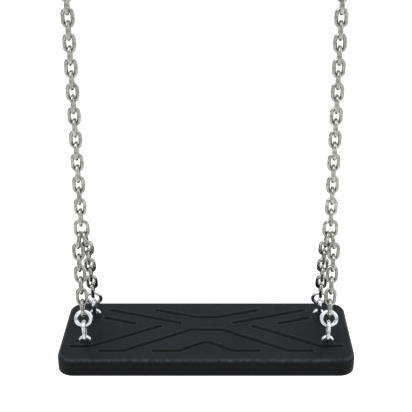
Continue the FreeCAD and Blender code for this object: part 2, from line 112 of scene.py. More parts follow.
class NodeSheet:
    """A material's node tree with short ways to add and join nodes."""

    def __init__(self, name: str) -> None:
        """Starts a material with one Principled shader.

        Args:
            name: name of the new material.
        """
        self.material = bpy.data.materials.new(name)
        self.material.use_nodes = True
        self.tree = self.material.node_tree
        self.tree.nodes.clear()
        self.shader = self.tree.nodes.new("ShaderNodeBsdfPrincipled")
        self.out = self.tree.nodes.new("ShaderNodeOutputMaterial")
        self.join(self.shader.outputs["BSDF"], self.out.inputs["Surface"])
        self.place = self.tree.nodes.new("ShaderNodeTexCoord").outputs["Object"]

    def join(self, source: bpy.types.NodeSocket, target: bpy.types.NodeSocket) -> None:
        """Joins two sockets."""
        self.tree.links.new(source, target)

    def noise(self, scale: float, detail: float = 4.0, rough: float = 0.55) -> bpy.types.NodeSocket:
        """Adds a noise field in the object's own space.

        Args:
            scale: cells per metre.
            detail: number of finer layers.
            rough: strength of the finer layers.

        Returns:
            The noise factor socket.
        """
        node = self.tree.nodes.new("ShaderNodeTexNoise")
        node.inputs["Scale"].default_value = scale
        node.inputs["Detail"].default_value = detail
        node.inputs["Roughness"].default_value = rough
        self.join(self.place, node.inputs["Vector"])
        return node.outputs["Fac"]

    def cells(self, scale: float) -> bpy.types.NodeSocket:
        """Adds a field of crystal cells, one random colour each.

        Args:
            scale: cells per metre.

        Returns:
            The cell colour socket.
        """
        node = self.tree.nodes.new("ShaderNodeTexVoronoi")
        node.inputs["Scale"].default_value = scale
        self.join(self.place, node.inputs["Vector"])
        return node.outputs["Color"]

    def mark(self, name: str) -> bpy.types.NodeSocket:
        """Reads a value painted on the mesh's points."""
        node = self.tree.nodes.new("ShaderNodeAttribute")
        node.attribute_name = name
        return node.outputs["Fac"]

    def spread(self, source: bpy.types.NodeSocket, low: float, high: float, to_low: float = 0.0,
               to_high: float = 1.0) -> bpy.types.NodeSocket:
        """Maps a range of values onto another, clamped.

        Args:
            source: value to map.
            low: start of its range.
            high: end of its range.
            to_low: what the start becomes.
            to_high: what the end becomes.

        Returns:
            The mapped value.
        """
        node = self.tree.nodes.new("ShaderNodeMapRange")
        for key, value in (("From Min", low), ("From Max", high), ("To Min", to_low), ("To Max", to_high)):
            node.inputs[key].default_value = value
        self.join(source, node.inputs["Value"])
        return node.outputs["Result"]

    def math(self, kind: str, a: bpy.types.NodeSocket,
             b: bpy.types.NodeSocket | float) -> bpy.types.NodeSocket:
        """Combines two values.

        Args:
            kind: the operation, such as ADD or MULTIPLY.
            a: first value.
            b: second value, a socket or a number.

        Returns:
            The result socket.
        """
        node = self.tree.nodes.new("ShaderNodeMath")
        node.operation = kind
        self.join(a, node.inputs[0])
        if isinstance(b, (int, float)):
            node.inputs[1].default_value = b
        else:
            self.join(b, node.inputs[1])
        return node.outputs[0]

    def mix(self, share: bpy.types.NodeSocket, a: "Colour | bpy.types.NodeSocket",
            b: "Colour | bpy.types.NodeSocket") -> bpy.types.NodeSocket:
        """Mixes two colours.

        Args:
            share: 0 gives the first colour, 1 the second.
            a: first colour.
            b: second colour.

        Returns:
            The mixed colour socket.
        """
        node = self.tree.nodes.new("ShaderNodeMix")
        node.data_type = "RGBA"
        self.join(share, node.inputs["Factor"])
        for value, key in ((a, 6), (b, 7)):
            if isinstance(value, tuple):
                node.inputs[key].default_value = (*value, 1.0)
            else:
                self.join(value, node.inputs[key])
        return node.outputs[2]

    def bump(self, height: bpy.types.NodeSocket, depth: float, strength: float = 1.0) -> None:
        """Raises the surface by a height field, on top of any bump already there.

        Args:
            height: the height field.
            depth: its full height in metres.
            strength: share of the effect.
        """
        node = self.tree.nodes.new("ShaderNodeBump")
        node.inputs["Distance"].default_value = depth
        node.inputs["Strength"].default_value = strength
        self.join(height, node.inputs["Height"])
        normal = self.shader.inputs["Normal"]
        if normal.is_linked:
            self.join(normal.links[0].from_socket, node.inputs["Normal"])
        self.join(node.outputs["Normal"], normal)


Colour = tuple[float, float, float]


@dataclass(frozen=True)
class MouldedRubber:
    """Charcoal rubber with a fine spark-eroded grain, dusted on its high edges, with a painted highlight along its
    top edge and painted shade in its grooves and down its sides.
    """

    name: str = "moulded_rubber"
    # Painted shade colour, used in the grooves and down the sides.
    deep: Colour = (0.0018, 0.0019, 0.0021)
    low: Colour = (0.0045, 0.0056, 0.0068)
    high: Colour = (0.0072, 0.0087, 0.0105)
    # Dusting colour; along the top edge it also paints a highlight.
    dust: Colour = (0.055, 0.064, 0.076)
    roughness: tuple[float, float] = (0.5, 0.68)
    shine: float = 0.06

    def make(self) -> bpy.types.Material:
        """Builds the material and returns it."""
        sheet = NodeSheet(self.name)
        cloud = sheet.noise(14.0, 5.0)
        grain = sheet.noise(1500.0, 2.0)
        smear = sheet.noise(90.0, 6.0, 0.7)
        base = sheet.mix(sheet.spread(cloud, 0.3, 0.7), self.low, self.high)
        # Dusting on the marked edges, which along the top edge is also a painted highlight.
        wear_and_highlight_share = sheet.math("MULTIPLY", sheet.mark("rub"), sheet.spread(smear, 0.35, 0.7))
        base = sheet.mix(sheet.math("MULTIPLY", wear_and_highlight_share, 0.75), base, self.dust)
        # Painted shade in the grooves and down the sides.
        base = sheet.mix(sheet.mark("dark"), base, self.deep)
        sheet.join(base, sheet.shader.inputs["Base Color"])
        rough = sheet.spread(sheet.math("ADD", grain, smear), 0.7, 1.3, *self.roughness)
        sheet.join(rough, sheet.shader.inputs["Roughness"])
        sheet.bump(grain, 0.12 * MM)
        sheet.bump(sheet.noise(420.0, 3.0), 0.1 * MM, 0.6)
        sheet.shader.inputs["IOR"].default_value = 1.52
        sheet.shader.inputs["Specular IOR Level"].default_value = self.shine
        return sheet.material


@dataclass(frozen=True)
class ZincSteel:
    """Zinc-coated steel: mottled crystals, bright where links wear against each other, dark at the weld."""

    name: str
    dull: Colour
    pale: Colour
    bright: Colour = (0.72, 0.71, 0.69)
    scorched: Colour = (0.16, 0.15, 0.14)
    crystal: float = 420.0
    roughness: tuple[float, float] = (0.26, 0.46)
    dent: float = 0.05

    def make(self) -> bpy.types.Material:
        """Builds the material and returns it."""
        sheet = NodeSheet(self.name)
        cells = sheet.cells(self.crystal)
        stain = sheet.noise(75.0, 6.0, 0.65)
        pits = sheet.noise(2200.0, 3.0)
        tone = sheet.math(
            "ADD", sheet.spread(cells, 0.0, 1.0, 0.0, 0.55), sheet.spread(stain, 0.3, 0.7, 0.0, 0.45)
        )
        base = sheet.mix(tone, self.dull, self.pale)
        base = sheet.mix(sheet.math("MULTIPLY", sheet.mark("dark"), 0.7), base, self.scorched)
        wear_and_highlight_share = sheet.math("MULTIPLY", sheet.mark("rub"), sheet.spread(stain, 0.25, 0.5))
        base = sheet.mix(wear_and_highlight_share, base, self.bright)
        sheet.join(base, sheet.shader.inputs["Base Color"])
        rough = sheet.spread(sheet.math("ADD", pits, stain), 0.7, 1.3, *self.roughness)
        smooth = sheet.math("SUBTRACT", rough, sheet.math("MULTIPLY", sheet.mark("rub"), 0.12))
        sheet.join(smooth, sheet.shader.inputs["Roughness"])
        sheet.bump(pits, self.dent * MM)
        sheet.bump(stain, 0.25 * MM, 0.5)
        sheet.shader.inputs["Metallic"].default_value = 1.0
        return sheet.material


@dataclass(frozen=True)
class PlainFinish:
    """An even finish for nylon and mill aluminium, with a fine grain."""

    name: str
    low: Colour
    high: Colour
    metal: float
    roughness: tuple[float, float]
    grain: float = 900.0

    def make(self) -> bpy.types.Material:
        """Builds the material and returns it."""
        sheet = NodeSheet(self.name)
        grain = sheet.noise(self.grain, 4.0)
        sheet.join(sheet.mix(grain, self.low, self.high), sheet.shader.inputs["Base Color"])
        sheet.join(sheet.spread(grain, 0.3, 0.7, *self.roughness), sheet.shader.inputs["Roughness"])
        sheet.bump(grain, 0.04 * MM)
        sheet.shader.inputs["Metallic"].default_value = self.metal
        return sheet.material


class Finishes:
    """Every finish of the swing, made once and found by the record's slot name."""

    def __init__(self) -> None:
        """Makes the materials."""
        recipes = {
            "seat_rubber": MouldedRubber(),
            "chain_steel": ZincSteel(
                "chain_zinc", (0.115, 0.117, 0.108), (0.44, 0.44, 0.415), roughness=(0.15, 0.3)
            ),
            "fitting_steel": ZincSteel(
                "bright_zinc", (0.4, 0.415, 0.45), (0.72, 0.73, 0.77), roughness=(0.16, 0.3)
            ),
            "hanger_steel": ZincSteel(
                "hot_dip_zinc", (0.12, 0.125, 0.13), (0.26, 0.265, 0.27), crystal=170.0,
                roughness=(0.34, 0.54), dent=0.09,
            ),
            "insert_plate": PlainFinish(
                "mill_aluminium", (0.55, 0.55, 0.57), (0.7, 0.7, 0.72), 1.0, (0.3, 0.45)
            ),
            "bush_nylon": PlainFinish(
                "natural_nylon", (0.74, 0.73, 0.69), (0.84, 0.83, 0.79), 0.0, (0.35, 0.5)
            ),
        }
        self.by_slot = {slot: recipe.make() for slot, recipe in recipes.items()}
        self.mould_cap = MouldedRubber(
            "mould_cap_rubber", low=(0.011, 0.0115, 0.012), high=(0.016, 0.0165, 0.017)
        ).make()
        self.bolt_steel = ZincSteel(
            "bolt_zinc", (0.2, 0.205, 0.215), (0.4, 0.405, 0.42), roughness=(0.22, 0.36)
        ).make()
        self.lock_ring = PlainFinish(
            "lock_ring_nylon", (0.06, 0.16, 0.32), (0.09, 0.2, 0.38), 0.0, (0.3, 0.45)
        ).make()

    def dress_frame(self, nodes: dict[str, bpy.types.Object], record: dict) -> None:
        """Gives every designed node the finish of its slot.

        Args:
            nodes: the frame's objects by node name.
            record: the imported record.
        """
        for row in record["subparts"]:
            data = nodes[row["node"]].data
            data.materials.clear()
            data.materials.append(self.by_slot[row["material_slot"]])


# --- mesh building -----------------------------------------------------------


@dataclass
class Skin:
    """Points, faces and painted values of a mesh that is still being made."""

    points: list[np.ndarray] = field(default_factory=list)
    faces: list[tuple[int, ...]] = field(default_factory=list)
    paint: dict[str, list[np.ndarray]] = field(default_factory=lambda: {"rub": [], "dark": []})
    count: int = 0

    def add_points(self, points: np.ndarray, rub: np.ndarray | float = 0.0,
                   dark: np.ndarray | float = 0.0) -> int:
        """Adds points with their painted values.

        Args:
            points: array of n rows of x, y and z.
            rub: how much each point takes the wear colour: rubbed bare on steel, dusting on the seat, which along
                the seat's top edge is also a painted highlight.
            dark: how dark each point is: scorch at welds, painted shade in the seat's grooves and down its sides,
                a darker recess under the seat.

        Returns:
            Index of the first new point.
        """
        start = self.count
        self.points.append(points)
        for name, value in (("rub", rub), ("dark", dark)):
            self.paint[name].append(np.broadcast_to(np.asarray(value, float), (len(points),)))
        self.count += len(points)
        return start

    def add_rings(self, rings: np.ndarray, loop: bool = False, caps: bool = False,
                  rub: np.ndarray | None = None, dark: np.ndarray | None = None) -> None:
        """Skins a row of closed rings that have the same number of points.

        Args:
            rings: array of rings, points and coordinates.
            loop: joins the last ring to the first.
            caps: closes the first and the last ring.
            rub: wear colour value of each point, with dusting and painted highlight on the seat, or none.
            dark: darkened value of each point, or none.
        """
        rows, across = rings.shape[:2]
        flat = rings.reshape(-1, 3)
        start = self.add_points(
            flat, 0.0 if rub is None else rub.reshape(-1), 0.0 if dark is None else dark.reshape(-1)
        )
        for i in range(rows if loop else rows - 1):
            here = start + i * across
            there = start + (i + 1) % rows * across
            for j in range(across):
                k = (j + 1) % across
                self.faces.append((here + j, here + k, there + k, there + j))
        if caps:
            self.faces.append(tuple(range(start + across - 1, start - 1, -1)))
            last = start + (rows - 1) * across
            self.faces.append(tuple(range(last, last + across)))

    def place(self, matrix: Matrix, other: "Skin") -> None:
        """Adds a placed copy of another skin.

        Args:
            matrix: where the copy goes.
            other: the skin to copy.
        """
        turn = np.array(matrix.to_3x3())
        shift = np.array(matrix.translation)
        points = np.concatenate(other.points) @ turn.T + shift
        start = self.add_points(
            points, np.concatenate(other.paint["rub"]), np.concatenate(other.paint["dark"])
        )
        self.faces += [tuple(start + i for i in face) for face in other.faces]

    def piece(self, name: str, finish: bpy.types.Material, smooth: float = 40.0) -> bpy.types.Object:
        """Turns the skin into an object.

        Args:
            name: the piece's name.
            finish: its material.
            smooth: edges up to this angle, in degrees, shade smooth.

        Returns:
            The new object.
        """
        mesh = bpy.data.meshes.new(name)
        mesh.from_pydata(np.concatenate(self.points).tolist(), [], self.faces)
        mesh.validate()
        for key, parts in self.paint.items():
            layer = mesh.attributes.new(key, "FLOAT", "POINT")
            layer.data.foreach_set("value", np.concatenate(parts).astype(np.float32))
        mesh.materials.append(finish)
        mesh.shade_smooth()
        mesh.set_sharp_from_angle(angle=math.radians(smooth))
        made = bpy.data.objects.new(name, mesh)
        bpy.context.scene.collection.objects.link(made)
        return made


def settle(piece: bpy.types.Object, body: str, slot: str, *nodes: str) -> None:
    """Fastens a finished piece to its body and reports it.

    Args:
        piece: the new object.
        body: the body that it rides on.
        slot: the record's material slot; not used.
        nodes: designed nodes that it stands for.
    """
    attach(piece, body)
    if nodes:
        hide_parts(*nodes)
    LOG.info("%s rides on %s, %d points", piece.name, body, len(piece.data.vertices))


def angles(count: int) -> np.ndarray:
    """Equally spaced angles of one full turn."""
    return np.linspace(0, 2 * math.pi, count, endpoint=False)


def circle(count: int) -> np.ndarray:
    """Points of a unit circle as cosine and sine columns."""
    turn = angles(count)
    return np.stack([np.cos(turn), np.sin(turn)], axis=1)


def smoothstep(share: np.ndarray) -> np.ndarray:
    """Eases a share between 0 and 1 in and out."""
    return share * share * (3 - 2 * share)


def flat_ring(radius: np.ndarray | float, turn: np.ndarray, z: float) -> np.ndarray:
    """Ring round the Z axis at one height.

    Args:
        radius: one radius, or one for each angle.
        turn: the angles.
        z: the height.

    Returns:
        The ring's points.
    """
    return np.column_stack([radius * np.cos(turn), radius * np.sin(turn), np.full(len(turn), z)])


def hexagon(flats: float, turn: np.ndarray) -> np.ndarray:
    """Radius of a hexagon at each angle, from its size across the flats."""
    apart = (turn + math.pi / 6) % (math.pi / 3) - math.pi / 6
    return flats / 2 / np.cos(apart)


def sweep(line: np.ndarray, run: np.ndarray, up: np.ndarray, radius: np.ndarray, around: int) -> np.ndarray:
    """Rings of a round section carried along a flat line.

    Args:
        line: points of the centre line.
        run: direction of the line at each point, of any length.
        up: unit normal of the plane that the line lies in.
        radius: radius at each point.
        around: points in a ring.

    Returns:
        The rings along the line.
    """
    run = run / np.linalg.norm(run, axis=1)[:, None]
    side = np.cross(up, run)
    over = np.cross(run, side)
    ring = circle(around)
    section = ring[None, :, :1] * side[:, None, :] + ring[None, :, 1:] * over[:, None, :]
    return line[:, None, :] + radius[:, None, None] * section


def lathe_rings(profile: list[tuple[float, float]], count: int = 48) -> np.ndarray:
    """Rings round the Z axis from radius and height pairs."""
    ring = circle(count)
    return np.array([np.column_stack([ring * r, np.full(count, z)]) for r, z in profile])


def hex_rings(flats: float, height: float, chamfer: float, count: int = 72) -> np.ndarray:
    """Rings of a hexagonal head, chamfered all round at its top.

    Args:
        flats: distance across the flats.
        height: height of the head.
        chamfer: height of the chamfer.
        count: points in a ring.

    Returns:
        The rings, from the bottom up.
    """
    turn = angles(count)
    sides = hexagon(flats, turn)
    corner = flats / math.sqrt(3)
    slope = 1.5
    rings = []
    levels = [0.0, (height - chamfer) * 0.5] + [height - chamfer * (1 - i / 6) for i in range(7)]
    for z in levels:
        limit = corner - max(0.0, z - (height - chamfer)) * slope
        rings.append(flat_ring(np.minimum(sides, limit), turn, z))
    return np.array(rings)


def thread_rings(radius: float, length: float, pitch: float, depth: float, count: int = 32) -> np.ndarray:
    """Rings of a rolled thread along Z, with a short lead-in at its end.

    Args:
        radius: outer radius.
        length: threaded length.
        pitch: distance between turns.
        depth: depth of the thread.
        count: points in a ring.

    Returns:
        The rings, from the bottom up.
    """
    turn = angles(count)
    rows_per_turn = 8
    rows = max(4, int(length / pitch * rows_per_turn))
    rings = []
    for i in range(rows + 1):
        z = length * i / rows
        phase = (z / pitch - turn / (2 * math.pi)) % 1.0
        cut = depth * (1 - np.abs(2 * phase - 1))
        lead = depth * max(0.0, 1 - (length - z) / pitch)
        rings.append(flat_ring(radius - np.maximum(cut, lead), turn, z))
    return np.array(rings)


def along_x(x: float, y: float, z: float, sign: float = 1.0) -> Matrix:
    """Matrix that lays a shape made round Z along X, pointing outwards by its sign."""
    return Matrix.Translation((x, y, z)) @ Matrix.Rotation(sign * math.pi / 2, 4, "Y")


# --- reading the designed shapes -----------------------------------------------


def solids_of(node: str) -> list[np.ndarray]:
    """Points of each separate solid in a designed node, from the top one down.

    Args:
        node: the node's name.

    Returns:
        One array of points for each solid.
    """
    mesh = frame["nodes"][node].data
    count = len(mesh.vertices)
    points = np.empty(count * 3, np.float32)
    mesh.vertices.foreach_get("co", points)
    points = points.reshape(-1, 3).astype(float)
    microns = np.round(points * 1e6).astype(np.int64)
    _, same = np.unique(microns, axis=0, return_inverse=True)
    same = same.reshape(-1)
    mesh.calc_loop_triangles()
    corners = np.empty(len(mesh.loop_triangles) * 3, np.int32)
    mesh.loop_triangles.foreach_get("vertices", corners)
    triangles = same[corners.reshape(-1, 3)]
    label = np.arange(same.max() + 1)
    while True:
        low = label[triangles].min(axis=1)
        fresh = label.copy()
        for column in range(3):
            np.minimum.at(fresh, triangles[:, column], low)
        fresh = fresh[fresh]
        if np.array_equal(fresh, label):
            break
        label = fresh
    of_point = label[same]
    groups = [points[of_point == value] for value in np.unique(of_point)]
    return sorted(groups, key=lambda group: -group[:, 2].mean())


@dataclass(frozen=True)
class LoopPlace:
    """Place and size of one closed wire loop: X across it, Y through it, Z along it."""

    matrix: Matrix
    half_width: float
    half_length: float
    wire: float

    @classmethod
    def read(cls, points: np.ndarray) -> "LoopPlace":
        """Finds a loop's own axes, centre and size, with its weld on the +X side.

        Args:
            points: the loop's points.

        Returns:
            The place of the loop.
        """
        centred = points - (points.max(axis=0) + points.min(axis=0)) / 2
        values, axes = np.linalg.eigh(np.cov(centred.T))
        through, across, along = axes.T
        if values[2] < ROUND_LOOP * values[1]:
            along = np.array([0.0, 0.0, 1.0]) - through[2] * through
            along /= np.linalg.norm(along)
        along = along * (1 if along[2] >= 0 else -1)
        across = np.cross(through, along)
        local = points @ np.column_stack([across, through, along])
        middle = (local.max(axis=0) + local.min(axis=0)) / 2
        crown = local[np.abs(local[:, 2] - middle[2]) > CROWN_SHARE * np.ptp(local[:, 2]) / 2]
        middle[0] = (crown[:, 0].max() + crown[:, 0].min()) / 2
        reach = local - middle
        if reach[:, 0].max() < -reach[:, 0].min():
            across, through = -across, -through
            middle[:2] *= -1
            reach[:, :2] *= -1
        turn = np.column_stack([across, through, along])
        place = Matrix(turn.tolist()).to_4x4()
        place.translation = Vector((turn @ middle).tolist())
        half_width = float(min(reach[:, 0].max(), -reach[:, 0].min()))
        return cls(place, half_width, float(reach[:, 2].max()), float(np.ptp(crown[:, 1])) / 2)


# --- chain -----------------------------------------------------------------------


@dataclass(frozen=True)
class WireLoop:
    """A bent and butt-welded wire loop, with crowns thinned by wear and a trimmed weld."""

    corner: float | None = None
    step: float = 0.9 * MM
    around: int = 20
    weld_rise: float = 0.34 * MM
    weld_half: float = 1.5 * MM
    seam_half: float = 0.45 * MM
    seam_depth: float = 0.12 * MM
    burnt_half: float = 2.6 * MM
    burnt: float = 0.85
    wear: float = 0.12 * MM

    def centre_line(self, half_width: float, half_length: float) -> np.ndarray:
        """Centre line of the wire, from the middle of the weld side and back to it.

        Args:
            half_width: half the width between wire centres.
            half_length: half the length between wire centres.

        Returns:
            Rows of x, z, outward angle and distance from the weld.
        """
        corner = min(half_width, half_length, self.corner or half_width)
        dx = half_width - corner
        dz = half_length - corner
        quarter = corner * math.pi / 2
        pieces = [
            (dz, (half_width, 0), None), (quarter, (dx, dz), 0), (2 * dx, (dx, half_length), None),
            (quarter, (-dx, dz), 1), (2 * dz, (-half_width, dz), None), (quarter, (-dx, -dz), 2),
            (2 * dx, (-dx, -half_length), None), (quarter, (dx, -dz), 3), (dz, (half_width, -dz), None),
        ]
        total = sum(piece[0] for piece in pieces)
        count = max(24, round(total / self.step / 2) * 2)
        rows = []
        for i in range(count):
            left = total * i / count
            angle = 0.0
            for length, (x, z), turn in pieces:
                if turn is not None:
                    angle = turn * math.pi / 2
                if left <= length and length > 0:
                    break
                left -= length
                if turn is not None:
                    angle += math.pi / 2
            if turn is not None:
                angle += left / corner
                x += corner * math.cos(angle)
                z += corner * math.sin(angle)
            else:
                x -= left * math.sin(angle)
                z += left * math.cos(angle)
            travel = total * i / count
            rows.append((x, z, angle, min(travel, total - travel)))
        return np.array(rows)

    def skin(self, half_width: float, half_length: float, wire: float, seed: int) -> Skin:
        """Meshes the loop about its own centre.

        Args:
            half_width: half its outer width.
            half_length: half its outer length.
            wire: radius of the wire.
            seed: number that sets the small irregularities of its weld.

        Returns:
            The loop's skin.
        """
        line = self.centre_line(half_width - wire, half_length - wire)
        dice = np.random.default_rng(seed)
        lump, lean = dice.uniform(0.75, 1.15), dice.uniform(-0.3, 0.3) * MM
        x, z, angle, away = line.T
        signed = np.where(np.arange(len(line)) < len(line) / 2, away, -away) - lean
        phi = angles(self.around)
        inside = np.clip(-np.cos(phi), 0, 1)
        crown = np.clip((np.abs(np.sin(angle)) - 0.7) / 0.3, 0, 1)
        rub = np.outer(crown, inside**1.5)
        collar = np.exp(-((signed / self.weld_half) ** 4))
        seam = np.exp(-((signed / self.seam_half) ** 2))
        swell = self.weld_rise * lump * collar - self.seam_depth * seam
        radius = wire + swell[:, None] * (1 - 0.5 * inside[None, :]) - self.wear * rub
        nx, nz = np.cos(angle), np.sin(angle)
        out = radius * np.cos(phi)[None, :]
        rings = np.stack([
            x[:, None] + out * nx[:, None], radius * np.sin(phi)[None, :], z[:, None] + out * nz[:, None],
        ], axis=2)
        made = Skin()
        burnt = np.exp(-((signed / self.burnt_half) ** 2))[:, None] * np.ones((1, self.around)) * self.burnt
        made.add_rings(rings, loop=True, rub=rub, dark=burnt)
        return made


@dataclass
class ChainRun:
    """All the wire loops of one side: main chain, junction link, legs, rings and seat links."""

    side: Side
    finishes: Finishes
    link: WireLoop = WireLoop()
    junction: WireLoop = WireLoop(corner=9.2 * MM, around=24)
    ring: WireLoop = WireLoop(around=24, weld_rise=0.12 * MM)
    seat_link: WireLoop = WireLoop(around=24)

    def loops(self, node: str, form: WireLoop, slot: str) -> None:
        """Remakes every loop of one designed node where that node has it.

        Args:
            node: the designed node.
            form: how its loops are meshed.
            slot: the record's material slot, which also gives the finish.
        """
        made = Skin()
        for number, points in enumerate(solids_of(node)):
            place = LoopPlace.read(points)
            seed = sum(ord(letter) for letter in node) * 10 + number
            made.place(place.matrix, form.skin(place.half_width, place.half_length, place.wire, seed))
        piece = made.piece(f"{node}_wire", self.finishes.by_slot[slot], smooth=60)
        settle(piece, BODY_OF[node], slot, node)

    def build(self) -> None:
        """Builds the side's chain."""
        for node in sorted(BODY_OF):
            if node.startswith(f"{self.side.word}_chain_links"):
                self.loops(node, self.link, "chain_steel")
        self.loops(f"{self.side.word}_junction_link", self.junction, "chain_steel")
        for leg in Leg:
            start = f"{self.side.word}_{leg.word}"
            self.loops(f"{start}_leg_links", self.link, "chain_steel")
            self.loops(f"{start}_ring", self.ring, "fitting_steel")
            self.loops(f"{start}_seat_link", self.seat_link, "fitting_steel")


# --- seat ------------------------------------------------------------------------


def bent_rod(line: np.ndarray, up: np.ndarray, radius: np.ndarray, around: int) -> np.ndarray:
    """Rings of a round rod along a flat line.

    Args:
        line: points of the centre line.
        up: unit normal of the plane that the line lies in.
        radius: radius at each point.
        around: points in a ring.

    Returns:
        The rings along the rod.
    """
    return sweep(line, np.gradient(line, axis=0), up, radius, around)


@dataclass
class Staple:
    """Threaded U-bolt whose crown stands out of the seat."""

    side: Side
    leg: Leg
    finish: bpy.types.Material
    leg_steps: int = 60
    arc_steps: int = 40
    around: int = 24
    thread_start: float = 4 * MM
    thread_pitch: float = 1.0 * MM
    thread_depth: float = 0.3 * MM

    @property
    def node(self) -> str:
        """The designed node's name."""
        return f"{self.side.word}_{self.leg.word}_staple"

    def feet(self) -> list[Vector]:
        """Where the centres of its two legs leave the seat."""
        low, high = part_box(self.node)
        wire = (high.y - low.y) / 2
        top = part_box("seat_rubber")[1].z
        return [Vector((x, (low.y + high.y) / 2, top)) for x in (low.x + wire, high.x - wire)]

    def build(self) -> None:
        """Builds the staple."""
        low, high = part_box(self.node)
        wire = (high.y - low.y) / 2
        radius = (high.x - low.x) / 2 - wire
        middle = np.array([(low.x + high.x) / 2, (low.y + high.y) / 2, high.z - wire - radius])
        steps = self.leg_steps
        foot = np.linspace(low.z, middle[2], steps, endpoint=False)
        turn = np.linspace(math.pi, 0, self.arc_steps)
        x = np.concatenate([np.full(steps, -radius), radius * np.cos(turn), np.full(steps, radius)])
        z = np.concatenate([foot - middle[2], radius * np.sin(turn), (foot - middle[2])[::-1]])
        line = np.column_stack([x, 0 * x, z]) + middle
        thick = np.full(len(x), wire)
        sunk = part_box("seat_rubber")[1].z - line[:, 2]
        wave = np.abs(((line[:, 2] / self.thread_pitch) % 1.0) * 2 - 1)
        thick -= np.where(sunk > self.thread_start, self.thread_depth * wave, 0)
        rings = bent_rod(line, np.array([0.0, 1.0, 0.0]), thick, self.around)
        crown = np.clip((line[:, 2] - middle[2])[:, None] / radius * 1.4 - 0.5, 0, 1)
        under = np.clip((line[:, None, 2] - rings[:, :, 2]) / wire, 0, 1)
        made = Skin()
        made.add_rings(rings, caps=True, rub=crown * under)
        piece = made.piece(f"{self.node}_bar", self.finish, smooth=50)
        settle(piece, "seat", "fitting_steel", self.node)


